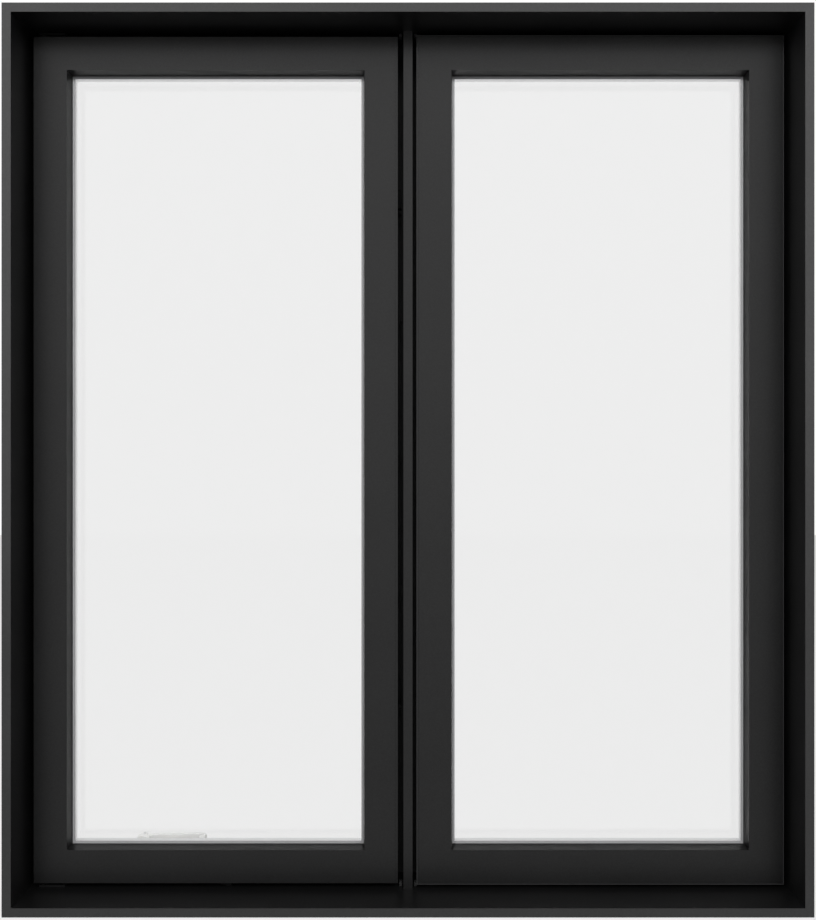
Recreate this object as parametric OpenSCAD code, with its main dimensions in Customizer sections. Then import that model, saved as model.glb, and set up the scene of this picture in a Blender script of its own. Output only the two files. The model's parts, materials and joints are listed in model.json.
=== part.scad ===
// Double casement window: a swinging left sash with a folding crank, and a stationary right sash.
// The origin is the centre of the sill's underside. X runs right as seen from outside,
// Y runs into the room and Z runs up.

/* [Frame] */
// Overall width of the frame
frame_w = 1219; // [900:1:1800]
// Overall height of the frame
frame_h = 1372; // [900:1:2000]
// Width of the frame's outside face
frame_face = 13.7; // [10:0.1:24]
// Depth of the room-side stop
stop_depth = 24; // [22:1:34]
// Width of the stop as seen from the room
stop_face = 36; // [34:0.5:50]
// Width of the mullion's outside face
mullion_face = 14.2; // [12:0.1:24]
// How far the sashes and mullion stand behind the frame's outside face
sash_setback = 54; // [30:1:55]

/* [Sash] */
// Gap between a sash edge and the frame
sash_gap = 9; // [7:0.1:11]
// Face width of a stile or rail
sash_face = 52; // [46:0.5:70]
// How much the opening's wall closes in towards the glass
sash_bevel = 2.4; // [0.5:0.1:5]
// Thickness of the flange outside the glass
flange_t = 16.5; // [13:0.5:20]
// Thickness of the thin lip that hides the hardware groove
lip_t = 5.5; // [4:0.1:6.2]
// Depth of the hardware groove behind the lip
groove_depth = 8; // [7:0.1:9]
// Thickness of the white inner bars
inner_bar_t = 8.5; // [6:0.5:12]
// Distance of the drip line from the meeting edge of the swinging sash
drip_inset = 3; // [2:0.1:5]
// Width and depth of that line
drip_w = 0.9; // [0.5:0.1:1.5]
// How far the inner bars stand in from the sash edge
inner_bar_inset = 9; // [8.8:0.1:10]

/* [Glass] */
// Thickness of one pane
pane_t = 4; // [3:0.5:5]
// Width of the space between the panes
cavity = 14; // [10:1:14]
// Thickness of a glazing gasket
gasket_t = 1.5; // [1:0.1:2]
// How far the glass reaches behind the outer flange's edge
glass_bite = 9.4; // [7:0.1:11]
// Clearance round the glass edge, filled by setting blocks
edge_clearance = 4; // [3:0.5:5]
// Width of the gasket lip that shows beyond the bevel
gasket_show = 3.5; // [1:0.1:5]
// How much lower the inner bars stand at the glass than the outer ones
inner_sight_drop = 6; // [2:0.5:6.5]
// Width of the spacer round the cavity
spacer_w = 9; // [7:0.5:10.4]
// Length of a setting block
block_len = 100; // [40:5:150]

/* [Seals] */
// Gap between a closed sash and the stop
stop_gap = 2; // [1.5:0.1:3]
// Clearance between a seal and the sash that swings onto it
seal_clearance = 0.3; // [0.2:0.05:0.6]
// Width of a weather seal's bulb
seal_w = 4; // [3:0.1:4.2]
// Thickness of the seal's strip that lines the stop
seal_strip_t = 0.6; // [0.4:0.05:0.9]
// Width of the bead round the stationary sash
retainer_w = 1.9; // [1.5:0.1:4]
// Shadow line between that bead and its sash
retainer_shadow = 0.8; // [0.4:0.1:1.5]
// How far the bead's face lies behind the sash face
retainer_setback = 0.5; // [0.2:0.1:2]
// Thickness of the bead's foot behind the lip
retainer_foot = 3; // [2:0.5:5]

/* [Hinge] */
// Distance of the pivot from the sash's outside corner, both ways
pivot_inset = 12; // [11.5:0.1:13]
// Largest opening angle of the sash
swing_max = 60; // [40:1:62]
// Radius of a pivot pin
pin_r = 4; // [3:0.1:4.5]
// Radius of the shoulder that carries the sash
shoulder_r = 6; // [5.5:0.1:6.3]
// Running clearance of pins and shafts
run_fit = 0.05; // [0.02:0.01:0.08]
// Thickness of hinge plates
hinge_plate_t = 3; // [2:0.1:3.5]
// Length of a hinge plate along the rail
hinge_plate_len = 40; // [25:1:44]
// Width of a hinge plate across the rail
hinge_plate_w = 25; // [16:1:30]

/* [Operator] */
// Distance of the crank spindle from the frame's hinge-side edge
spindle_inset = 167.5; // [160:0.5:190]
// Height of the spindle where it leaves the cover
spindle_z = 50; // [46:0.5:52]
// Tilt of the spindle above level
spindle_tilt = 10; // [5:1:11]
// Radius of the worm gear's tip circle
gear_r = 9; // [7.5:0.1:9.2]
// Number of teeth of a full worm gear
gear_teeth = 24; // [18:1:30]
// Depth of a gear tooth
tooth_h = 1.4; // [0.8:0.1:2]
// Thickness of the gear
gear_t = 6; // [4:0.5:7]
// Radius of the worm
worm_r = 4; // [3:0.1:4.4]
// Radius of the worm shaft
shaft_r = 3; // [2:0.1:3.2]
// Gap between the worm and the gear's tips
mesh_gap = 0.4; // [0.3:0.05:1]
// Radius of the arm's upright shaft
arm_shaft_r = 4.5; // [3:0.1:5]
// Width of the operator arm
arm_w = 10; // [8:0.5:11]
// Thickness of the operator arm
arm_t = 4; // [3:0.1:4.4]
// Clearance of the arm above the sill
arm_clearance = 1.5; // [1:0.1:2]
// Radius of the glide in the sash track
glide_r = 4; // [3:0.1:4.4]
// Clearance of a sliding piece in its track
slide_fit = 0.3; // [0.2:0.05:0.5]
// Wall of the sash track
track_wall = 2; // [1:0.1:2.2]
// Thickness of the operator's bed plate
base_t = 1.6; // [1:0.1:1.8]
// Length of the operator cover
cover_len = 129; // [110:1:150]
// Height of the operator cover above the stop
cover_h = 19; // [17:0.5:22]
// Wall of the operator cover
cover_wall = 1.6; // [1:0.1:2]
// Overhang of the cover past the room face, at spindle height
cover_overhang = 3; // [2:0.5:8]

/* [Crank] */
// Radius of the crank hub
hub_r = 11; // [9:0.5:12]
// Length of the crank hub along the spindle
hub_len = 9; // [8:0.5:12]
// Clearance between crank and cover
crank_clearance = 1; // [0.6:0.1:2]
// Distance from spindle to knob
crank_reach = 97; // [70:1:104]
// Width of the handle at its broad end
handle_w = 13; // [11:0.5:15]
// Thickness of the handle
handle_t = 5; // [4:0.5:7]
// Radius of the fold pin
fold_pin_r = 2; // [1.5:0.1:2.3]
// Radius of the handle's eye round the fold pin
eye_r = 4.2; // [3.5:0.1:4.6]
// Thickness of each hub lug beside the eye
lug_t = 3; // [2:0.1:4]
// Radius of the knob
knob_r = 7; // [5:0.5:9]
// Length of the knob
knob_len = 9; // [6:0.5:9.5]
// Radius of the post inside the knob
post_r = 2.5; // [1.5:0.1:3]

/* [Lock] */
// Height of the lock lever's pivot
lock_z = 340; // [250:5:600]
// Height of the lock case
case_h = 84; // [70:1:120]
// Width of the lock case
case_w = 20; // [18:1:22]
// Depth of the lock case
case_d = 10; // [9:0.5:14]
// Length of the lock lever
lever_len = 76; // [50:1:100]
// Width of the lock lever
lever_w = 7; // [5:0.5:9]
// Thickness of the lock lever
lever_t = 5; // [4:0.5:7]
// Angle between the raised lever and the wall plane
lever_lean = 15; // [12:1:20]
// Thickness of the tie bar
bar_t = 3; // [2:0.1:3.2]
// Width of the tie bar
bar_w = 14; // [10:0.5:16]
// Length of the tie bar
bar_len = 1100; // [700:10:1150]
// Travel of the tie bar
bar_travel = 25; // [20:1:30]
// Radius of a locking roller
roller_r = 4; // [3:0.1:5]
// Length of a locking roller
roller_len = 4; // [3:0.1:4.4]
// Length of a keeper along the stile
keeper_len = 30; // [20:1:40]

/* [Fixing] */
// Radius of the installation screw holes in the jambs
screw_r = 2.6; // [2:0.1:4]
// Height of the lowest screw hole
screw_z = 150; // [100:5:200]

/* [Hidden] */
$fn = 48;

// Cuts run past the faces they open by this much
overrun = 1;

// Depth planes, from the outside face to the room face
sash_depth = flange_t + gasket_t + pane_t + cavity + pane_t + gasket_t + inner_bar_t;
frame_depth = sash_setback + sash_depth + stop_gap + stop_depth;
front_y = -frame_depth / 2;
back_y = frame_depth / 2;
stop_y = back_y - stop_depth;
sash_front_y = front_y + sash_setback;
lip_back_y = sash_front_y + lip_t;
flange_back_y = sash_front_y + flange_t;
glass_y = flange_back_y + gasket_t;
glass_back_y = glass_y + pane_t + cavity + pane_t;
web_back_y = glass_back_y + gasket_t;
sash_back_y = web_back_y + inner_bar_t;

// Sash size and places
sash_edge = frame_face + sash_gap;
sash_inner_edge = mullion_face / 2 + sash_gap;
sash_w = frame_w / 2 - sash_edge - sash_inner_edge;
sash_h = frame_h - sash_edge - sash_edge;
sash_x = sash_inner_edge + sash_w / 2;
frame_mid_z = frame_h / 2;

// Distances in from the sash edge
glass_n = sash_face + sash_bevel - glass_bite;
rebate_n = glass_n - edge_clearance;
gasket_n = sash_face + sash_bevel + gasket_show;
spacer_n = glass_n + spacer_w;
inner_face_n = sash_face + sash_bevel - inner_sight_drop;
inner_edge_cut = 2;

// Hinge pivot
pivot_x = -sash_x - sash_w / 2 + pivot_inset;
pivot_y = sash_front_y + pivot_inset;
sill_top = frame_face;
head_under = frame_h - frame_face;
groove_z = sash_edge + groove_depth;
groove_top_z = frame_h - groove_z;
hinge_play = 0.2;
pin_end_gap = 0.5;

// Operator: the gear stands beside the worm, and the arm is as long as the distance from the
// gear to the sash pivot, so that it turns twice as far as the sash
stop_gear_share = 0.5;
spindle_x = -frame_w / 2 + spindle_inset;
gear_x = spindle_x + worm_r + mesh_gap + gear_r;
gear_y = stop_y + stop_depth * stop_gear_share;
arm_dx = gear_x - pivot_x;
arm_dy = gear_y - pivot_y;
arm_len = sqrt(arm_dx * arm_dx + arm_dy * arm_dy);
arm_angle = atan(arm_dy / arm_dx);
arm_z = sill_top + arm_clearance;
arm_top_z = arm_z + arm_t;
glide_x = pivot_x + arm_dx + arm_dx;
glide_end_gap = 0.5;
track_end = 20;
track_z = groove_z - track_wall;
track_under = sash_edge + slide_fit;
// Ends of the arm's sweep where it crosses the stop's outside face
pocket_room = arm_w / 2 + slide_fit + slide_fit;
open_angle = 180 - arm_angle - swing_max - swing_max;
pocket_right = (gear_y - stop_y) / tan(arm_angle) + pocket_room / sin(arm_angle);
pocket_left = (gear_y - stop_y) / tan(open_angle) + pocket_room / sin(open_angle);
arm_eye_r = arm_w / 2 + slide_fit;
pocket_r = arm_eye_r + slide_fit + slide_fit;

// Spindle: its place on the cover's room face, and the height of its axis over the gear
cover_y = back_y + cover_overhang;
worm_z = spindle_z - (cover_y - gear_y) * tan(spindle_tilt);
gear_z = worm_z - gear_t / 2;
cover_back_y = stop_y + slide_fit;
cover_top_z = stop_face + cover_h;
cover_left_x = spindle_x - hub_r - crank_clearance - crank_clearance;
cover_corner = 2;
worm_len = gear_r + gear_r;
bearing_len = 2.2;
bearing_y = gear_y + gear_r - tooth_h + slide_fit + slide_fit + slide_fit;
bearing_w = 14;

// Crank: distances along the spindle from the cover's face
hub_start = crank_clearance;
hub_end = hub_start + hub_len;
pin_n = hub_end + eye_r + slide_fit;
eye_half = handle_w / 4;
lug_out = eye_half + slide_fit + lug_t;
hub_edge = 2;
handle_end_r = handle_w / 2;
handle_neck_share = 0.8;

// Lock
mullion_stop_half = mullion_face / 2 + sash_gap + stop_face - sash_edge;
case_edge = 1.3;
case_x = -mullion_stop_half + case_edge + case_w / 2;
lever_y = back_y + case_d / 2;
lever_hub_r = case_d / 2 - fold_pin_r / 2 - slide_fit;
bar_x = -mullion_face / 2 - slide_fit;
bar_y = flange_back_y + bar_w;
bar_z = (frame_h - bar_len) / 2;
roller_shares = [0.14, 0.86];
guide_shares = [0.3, 0.5, 0.7];
guide_len = 20;
guide_wall = 1.2;
keeper_out_x = bar_x - bar_t - guide_wall;

// Fixing
screw_y = bar_y;
inner_screw_share = 1 / 3;

// Frame accessory groove round the outside edge
kerf_w = 3;
kerf_depth = 5;
kerf_setback = 30;

black = "#2b2b2d";
white = "#f1f1ef";
glass_tint = [0.8, 0.86, 0.86, 0.35];
rubber = "#7c7d7f";
metal = "#b9bcbf";

// A mitred bar of a rectangular ring. The outline's points are [distance in from the edge, y].
// Side 0 is the bottom, 1 the right, 2 the top and 3 the left.
module ring_bar(w, h, outline, side) {
    long = side % 2 == 0 ? w : h;
    half = side % 2 == 0 ? h / 2 : w / 2;
    reach = max([for (p = outline) p[0]]) + overrun;
    low = min([for (p = outline) p[1]]) - overrun;
    high = max([for (p = outline) p[1]]) + overrun;
    rotate([0, -90 * side, 0]) translate([0, 0, -half]) intersection() {
        translate([-long / 2, 0, 0]) rotate([90, 0, 90])
            linear_extrude(long) polygon([for (p = outline) [p[1], p[0]]]);
        translate([0, high, 0]) rotate([90, 0, 0]) linear_extrude(high - low) polygon([
            [-long / 2 - overrun, -overrun],
            [long / 2 + overrun, -overrun],
            [long / 2 - reach, reach],
            [-long / 2 + reach, reach],
        ]);
    }
}

// A closed rectangular ring between two distances in from the edge
module ring(w, h, n0, n1, y0, y1) {
    difference() {
        translate([-w / 2 + n0, y0, -h / 2 + n0]) cube([w - n0 - n0, y1 - y0, h - n0 - n0]);
        translate([-w / 2 + n1, y0 - overrun, -h / 2 + n1])
            cube([w - n1 - n1, y1 - y0 + overrun + overrun, h - n1 - n1]);
    }
}

module rod_x(r, x0, x1) translate([x0, 0, 0]) rotate([0, 90, 0]) cylinder(r = r, h = x1 - x0);

// Frame bars

outer_outline = [
    [0, front_y], [frame_face, front_y], [frame_face, stop_y], [0, stop_y],
    [0, front_y + kerf_setback + kerf_w], [kerf_depth, front_y + kerf_setback + kerf_w],
    [kerf_depth, front_y + kerf_setback], [0, front_y + kerf_setback],
];

inner_outline = [
    [0, stop_y], [stop_face, stop_y], [stop_face, back_y - inner_edge_cut],
    [stop_face - inner_edge_cut, back_y], [0, back_y],
];

module frame_bar(outline, side) {
    translate([0, 0, frame_mid_z]) ring_bar(frame_w, frame_h, outline, side);
}

module jamb_screw_holes() {
    span = frame_h - screw_z - screw_z;
    for (share = [0, inner_screw_share, 1 - inner_screw_share, 1])
        translate([0, screw_y, screw_z + span * share])
            rod_x(screw_r, -frame_w / 2 - overrun, frame_w / 2 + overrun);
}

module outer_sill() { color(black) frame_bar(outer_outline, 0); }
module outer_head() { color(black) frame_bar(outer_outline, 2); }

module outer_jamb_right() {
    color(black) difference() {
        frame_bar(outer_outline, 1);
        jamb_screw_holes();
    }
}

module outer_jamb_left() {
    color(black) difference() {
        frame_bar(outer_outline, 3);
        jamb_screw_holes();
    }
}

module outer_mullion() {
    color(black) translate([-mullion_face / 2, sash_front_y, sill_top])
        cube([mullion_face, stop_y - sash_front_y, head_under - sill_top]);
}

module inner_head() { color(white) frame_bar(inner_outline, 2); }
module inner_jamb_right() { color(white) frame_bar(inner_outline, 1); }
module inner_jamb_left() { color(white) frame_bar(inner_outline, 3); }

// Room for the operator arm to swing in, from under the gear out through the stop's outside face
module arm_pocket() {
    front = gear_y - stop_y + overrun;
    translate([gear_x, gear_y, sill_top]) linear_extrude(arm_top_z + slide_fit + slide_fit - sill_top)
        union() {
            circle(r = pocket_r);
            polygon([
                [-pocket_room * sin(open_angle), pocket_room * cos(open_angle)],
                [-pocket_left - overrun / tan(open_angle), -front],
                [pocket_right + overrun / tan(arm_angle), -front],
                [pocket_room * sin(arm_angle), pocket_room * cos(arm_angle)],
            ]);
        }
}

// The sill's stop has a pocket for the operator arm and a bore for its shaft
module inner_sill() {
    color(white) difference() {
        frame_bar(inner_outline, 0);
        arm_pocket();
        translate([gear_x, gear_y, sill_top])
            cylinder(r = arm_shaft_r + slide_fit, h = stop_face - sill_top + overrun);
    }
}

module inner_mullion() {
    half = mullion_stop_half;
    color(white) translate([0, 0, stop_face])
        linear_extrude(frame_h - stop_face - stop_face) polygon([
            [-half, stop_y], [half, stop_y], [half, back_y - inner_edge_cut], [half - inner_edge_cut, back_y],
            [-half + inner_edge_cut, back_y], [-half, back_y - inner_edge_cut],
        ]);
}

module sash_place(side_sign) translate([side_sign * sash_x, 0, frame_mid_z]) children();

// A seal is a bulb on a thin strip that lines the stop: the swinging sash stops short of its bulb
module seal(clearance) {
    bulb_in = inner_bar_inset + seal_w;
    union() {
        ring(sash_w, sash_h, inner_bar_inset, bulb_in, sash_back_y + clearance, stop_y);
        ring(sash_w, sash_h, -sash_gap, bulb_in, stop_y - seal_strip_t, stop_y);
    }
}

module seal_left() {
    color("#1b1b1b") difference() {
        sash_place(-1) seal(seal_clearance);
        arm_pocket();
    }
}

module seal_right() { color("#1b1b1b") sash_place(1) seal(0); }

// Sash bars and glass

sash_outer_outline = [
    [0, sash_front_y], [sash_face, sash_front_y], [sash_face + sash_bevel, flange_back_y],
    [rebate_n, flange_back_y], [rebate_n, web_back_y], [groove_depth, web_back_y],
    [groove_depth, lip_back_y], [0, lip_back_y],
];

sash_inner_outline = [
    [inner_bar_inset, web_back_y], [inner_face_n, web_back_y], [inner_face_n, sash_back_y - inner_edge_cut],
    [inner_face_n - inner_edge_cut, sash_back_y], [inner_bar_inset, sash_back_y],
];

// The meeting stile of the swinging sash has a drip line in its face
meeting_outline = concat([
    [0, sash_front_y], [drip_inset, sash_front_y], [drip_inset, sash_front_y + drip_w],
    [drip_inset + drip_w, sash_front_y + drip_w], [drip_inset + drip_w, sash_front_y],
], [for (i = [1 : len(sash_outer_outline) - 1]) sash_outer_outline[i]]);

module sash_outer_bar(side_sign, side, outline = sash_outer_outline) {
    color(black) sash_place(side_sign) ring_bar(sash_w, sash_h, outline, side);
}

module sash_inner_bar(side_sign, side) {
    color(white) sash_place(side_sign) ring_bar(sash_w, sash_h, sash_inner_outline, side);
}

module pane(side_sign, y0) {
    color(glass_tint) sash_place(side_sign) translate([-sash_w / 2 + glass_n, y0, -sash_h / 2 + glass_n])
        cube([sash_w - glass_n - glass_n, pane_t, sash_h - glass_n - glass_n]);
}

module spacer(side_sign) {
    color(metal) sash_place(side_sign)
        ring(sash_w, sash_h, glass_n, spacer_n, glass_y + pane_t, glass_y + pane_t + cavity);
}

module outer_gasket(side_sign) {
    color(rubber) sash_place(side_sign) ring(sash_w, sash_h, glass_n, gasket_n, flange_back_y, glass_y);
}

module inner_gasket(side_sign) {
    color(rubber) sash_place(side_sign) ring(sash_w, sash_h, glass_n, inner_face_n, glass_back_y, web_back_y);
}

// Two setting blocks under the glass, at the quarter points of the rail
module setting_blocks(side_sign) {
    sash_place(side_sign) for (s = [-1, 1])
        translate([s * sash_w / 4 - block_len / 2, glass_y, -sash_h / 2 + rebate_n])
            cube([block_len, glass_back_y - glass_y, edge_clearance]);
}

module sash_blocks() { color("#303236") setting_blocks(-1); }

// The stationary sash also stands on two packers above the sill
module fixed_blocks() {
    color("#303236") {
        setting_blocks(1);
        sash_place(1) for (s = [-1, 1])
            translate([s * sash_w / 4 - block_len / 2, flange_back_y, -frame_mid_z + sill_top])
                cube([block_len, web_back_y - flange_back_y, groove_z - sill_top]);
    }
}

// A thin bead round the stationary sash, with a foot held behind the sash's lip
module fixed_retainer() {
    color("#3a3b3d") sash_place(1) union() {
        ring(sash_w, sash_h, -retainer_shadow - retainer_w, -retainer_shadow,
            sash_front_y + retainer_setback, lip_back_y + retainer_foot);
        ring(sash_w, sash_h, -retainer_shadow - retainer_w, groove_depth,
            lip_back_y, lip_back_y + retainer_foot);
    }
}

module fixed_outer_bottom_rail() { sash_outer_bar(1, 0); }
module fixed_outer_right_stile() { sash_outer_bar(1, 1); }
module fixed_outer_top_rail() { sash_outer_bar(1, 2); }
module fixed_outer_left_stile() { sash_outer_bar(1, 3); }
module fixed_inner_bottom_rail() { sash_inner_bar(1, 0); }
module fixed_inner_right_stile() { sash_inner_bar(1, 1); }
module fixed_inner_top_rail() { sash_inner_bar(1, 2); }
module fixed_inner_left_stile() { sash_inner_bar(1, 3); }
module fixed_outer_pane() { pane(1, glass_y); }
module fixed_spacer() { spacer(1); }
module fixed_inner_pane() { pane(1, glass_y + pane_t + cavity); }
module fixed_outer_gasket() { outer_gasket(1); }
module fixed_inner_gasket() { inner_gasket(1); }

module sash_outer_bottom_rail() { sash_outer_bar(-1, 0); }
module sash_outer_right_stile() { sash_outer_bar(-1, 1, meeting_outline); }
module sash_outer_top_rail() { sash_outer_bar(-1, 2); }
module sash_outer_left_stile() { sash_outer_bar(-1, 3); }
module sash_inner_bottom_rail() { sash_inner_bar(-1, 0); }
module sash_inner_right_stile() { sash_inner_bar(-1, 1); }
module sash_inner_top_rail() { sash_inner_bar(-1, 2); }
module sash_inner_left_stile() { sash_inner_bar(-1, 3); }
module sash_outer_pane() { pane(-1, glass_y); }
module sash_spacer() { spacer(-1); }
module sash_inner_pane() { pane(-1, glass_y + pane_t + cavity); }
module sash_outer_gasket() { outer_gasket(-1); }
module sash_inner_gasket() { inner_gasket(-1); }

// Hinges: a leaf in the groove of each rail turns on a pin on the sill or under the head

module hinge_leaf() {
    translate([pivot_x, pivot_y, groove_z - hinge_plate_t]) difference() {
        union() {
            cylinder(r = shoulder_r, h = hinge_plate_t);
            translate([0, -shoulder_r, 0]) cube([hinge_plate_len, hinge_plate_w, hinge_plate_t]);
        }
        translate([0, 0, -overrun]) cylinder(r = pin_r + run_fit, h = hinge_plate_t + overrun + overrun);
    }
}

module pivot_bracket() {
    shoulder_top = groove_z - hinge_plate_t - hinge_play;
    union() {
        translate([pivot_x - shoulder_r, pivot_y - shoulder_r, sill_top])
            cube([hinge_plate_len, hinge_plate_w, hinge_plate_t]);
        translate([pivot_x, pivot_y, sill_top]) cylinder(r = shoulder_r, h = shoulder_top - sill_top);
        translate([pivot_x, pivot_y, sill_top]) cylinder(r = pin_r, h = groove_z - pin_end_gap - sill_top);
    }
}

module upside_down() translate([0, 0, frame_h]) mirror([0, 0, 1]) children();

module hinge_leaves() {
    color(metal) {
        hinge_leaf();
        upside_down() hinge_leaf();
    }
}

module lower_pivot_bracket() { color(metal) pivot_bracket(); }
module upper_pivot_bracket() { color(metal) upside_down() pivot_bracket(); }

// The track is a channel, open downward, that the arm's glide runs in
module sash_track() {
    x0 = pivot_x + hinge_plate_len + slide_fit;
    x1 = glide_x + glide_r + track_end;
    half = glide_r + slide_fit;
    color(metal) difference() {
        translate([x0, pivot_y - half - track_wall / 2, track_under])
            cube([x1 - x0, half + half + track_wall, groove_z - track_under]);
        translate([x0 - overrun, pivot_y - half, track_under - overrun])
            cube([x1 - x0 - track_wall + overrun, half + half, track_z - track_under + overrun]);
    }
}

// Operator

// The corners of the gear's teeth: two at the root and two at the tip of each tooth
function gear_points(tip, root, teeth) = [
    for (i = [0 : teeth - 1], k = [0 : 3])
        let (corner_shares = [0, 0.3, 0.5, 0.8], a = (i + corner_shares[k]) * 360 / teeth,
            r = k < 2 ? root : tip)
        [r * cos(a), r * sin(a)]
];

// Arm, upright shaft and worm gear, riveted together into one piece
module operator_arm() {
    color(metal) translate([gear_x, gear_y, 0]) union() {
        translate([0, 0, arm_z]) rotate([0, 0, -arm_angle]) linear_extrude(arm_t) union() {
            circle(r = arm_eye_r);
            translate([0, -arm_w / 2]) square([arm_len, arm_w]);
            translate([arm_len, 0]) circle(r = arm_eye_r);
        }
        translate([0, 0, arm_z + arm_t / 2])
            cylinder(r = arm_shaft_r, h = gear_z + gear_t / 2 - arm_z - arm_t / 2);
        translate([0, 0, gear_z]) linear_extrude(gear_t)
            polygon(gear_points(gear_r, gear_r - tooth_h, gear_teeth));
    }
}

module arm_glide() {
    color("#202022") translate([glide_x, pivot_y, arm_top_z])
        cylinder(r = glide_r, h = track_z - glide_end_gap - arm_top_z);
}

// Places its children on the spindle: their Z runs out of the cover along the spindle, their X stays X
module on_spindle() {
    translate([spindle_x, cover_y, spindle_z]) rotate([spindle_tilt - 90, 0, 0]) children();
}

// Outline of the cover in depth and height, drawn in by a wall and open down to a level
function cover_outline(t, low_z) = [
    [cover_back_y + t, low_z],
    [cover_back_y + t, cover_top_z - t - cover_corner],
    [cover_back_y + t + cover_corner, cover_top_z - t],
    [cover_face_y(cover_top_z - t, t) - cover_corner, cover_top_z - t],
    [cover_face_y(cover_top_z - t - cover_corner, t), cover_top_z - t - cover_corner],
    [cover_face_y(low_z, t), low_z],
];

function cover_face_y(z, t) = cover_y - (z - spindle_z) * tan(spindle_tilt) - t / cos(spindle_tilt);

module cover_block(t, low_z) {
    translate([cover_left_x + t, 0, 0]) rotate([90, 0, 90])
        linear_extrude(cover_len - t - t) polygon(cover_outline(t, low_z));
}

module operator_cover() {
    hole_len = cover_wall + cover_corner + cover_corner;
    color(white) difference() {
        cover_block(0, stop_face);
        cover_block(cover_wall, stop_face - overrun);
        on_spindle() translate([0, 0, -hole_len])
            cylinder(r = shaft_r + slide_fit, h = hole_len + overrun);
    }
}

// Bed plate on the stop, with a bearing for the worm shaft
module operator_base() {
    x0 = cover_left_x + cover_wall + slide_fit;
    y0 = cover_back_y + cover_wall + slide_fit;
    plate_d = back_y - y0;
    plate_w = cover_len - cover_wall - cover_wall - slide_fit - slide_fit;
    worm_room = worm_r + slide_fit;
    color(metal) difference() {
        union() {
            translate([x0, y0, stop_face]) cube([plate_w, plate_d, base_t]);
            translate([spindle_x - bearing_w / 2, bearing_y, stop_face])
                cube([bearing_w, bearing_len, cover_h - cover_wall - slide_fit]);
        }
        translate([gear_x, gear_y, stop_face - overrun])
            cylinder(r = arm_shaft_r + run_fit, h = base_t + overrun + overrun);
        translate([spindle_x - worm_room, y0 - overrun, stop_face - overrun])
            cube([worm_room + worm_room, bearing_y - y0 + overrun, base_t + overrun + overrun]);
        on_spindle() translate([0, 0, -stop_depth])
            cylinder(r = shaft_r + run_fit, h = stop_depth + overrun);
    }
}

module worm_shaft() {
    reach = (cover_y - gear_y) / cos(spindle_tilt) + gear_r - tooth_h;
    color(metal) on_spindle() union() {
        translate([0, 0, -reach]) cylinder(r = worm_r, h = worm_len - tooth_h - tooth_h);
        translate([0, 0, -reach]) cylinder(r = shaft_r, h = reach + hub_start);
    }
}

// Crank

module crank_hub() {
    color(white) on_spindle() difference() {
        union() {
            translate([0, 0, hub_start]) cylinder(r = hub_r, h = hub_len - hub_edge);
            translate([0, 0, hub_end - hub_edge]) cylinder(r1 = hub_r, r2 = hub_r - hub_edge, h = hub_edge);
            for (s = [-1, 1]) translate([0, s * (lug_out - lug_t / 2), 0]) {
                translate([-eye_r, -lug_t / 2, hub_start]) cube([eye_r + eye_r, lug_t, pin_n - hub_start]);
                translate([0, lug_t / 2, pin_n]) rotate([90, 0, 0]) cylinder(r = eye_r, h = lug_t);
            }
        }
        translate([0, lug_out + overrun, pin_n]) rotate([90, 0, 0])
            cylinder(r = fold_pin_r, h = lug_out + lug_out + overrun + overrun);
    }
}

module fold_pin() {
    color(metal) on_spindle() translate([0, lug_out, pin_n]) rotate([90, 0, 0])
        cylinder(r = fold_pin_r, h = lug_out + lug_out);
}

// The handle runs from its eye on the fold pin to the post that carries the knob
module crank_handle() {
    neck = handle_end_r * handle_neck_share;
    color(white) on_spindle() translate([0, 0, pin_n]) difference() {
        union() {
            translate([0, eye_half, 0]) rotate([90, 0, 0]) cylinder(r = eye_r, h = eye_half + eye_half);
            translate([0, 0, -handle_t / 2]) linear_extrude(handle_t) union() {
                polygon([
                    [0, -eye_half], [hub_r, -eye_half], [hub_r + hub_edge, -neck],
                    [crank_reach, -handle_end_r], [crank_reach, handle_end_r],
                    [hub_r + hub_edge, neck], [hub_r, eye_half], [0, eye_half],
                ]);
                translate([crank_reach, 0]) circle(r = handle_end_r);
            }
            translate([crank_reach, 0, -handle_t / 2 - knob_len]) cylinder(r = post_r, h = knob_len);
        }
        translate([0, eye_half + overrun, 0]) rotate([90, 0, 0])
            cylinder(r = fold_pin_r + run_fit, h = eye_half + eye_half + overrun + overrun);
    }
}

module crank_knob() {
    waist_share = 0.82;
    color(white) on_spindle() translate([crank_reach, 0, pin_n - handle_t / 2 - slide_fit - knob_len])
        rotate_extrude() polygon([
            [post_r + run_fit, 0], [knob_r - hub_edge, 0], [knob_r, hub_edge],
            [knob_r * waist_share, knob_len - hub_edge], [knob_r * waist_share, knob_len],
            [post_r + run_fit, knob_len],
        ]);
}

// Lock

module lock_case() {
    slot_w = lever_w + slide_fit + slide_fit;
    slot_half = (case_d / 2 + lever_t / 2 / cos(lever_lean)) / tan(lever_lean) + slide_fit;
    color(white) difference() {
        translate([case_x - case_w / 2, back_y, lock_z - case_h / 2]) cube([case_w, case_d, case_h]);
        translate([case_x - slot_w / 2, lever_y - lever_hub_r - slide_fit, lock_z - slot_half])
            cube([slot_w, case_d, slot_half + slot_half]);
        translate([case_x, lever_y, lock_z]) rod_x(fold_pin_r + run_fit, -case_w, case_w);
    }
}

module lock_lever() {
    color(white) translate([case_x, lever_y, lock_z]) union() {
        rod_x(lever_hub_r, -lever_w / 2, lever_w / 2);
        rod_x(fold_pin_r, -case_w / 2, case_w / 2);
        rotate([-lever_lean, 0, 0]) {
            translate([-lever_w / 2, -lever_t / 2, 0]) cube([lever_w, lever_t, lever_len]);
            translate([0, 0, lever_len]) rod_x(lever_t / 2, -lever_w / 2, lever_w / 2);
        }
    }
}

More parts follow.
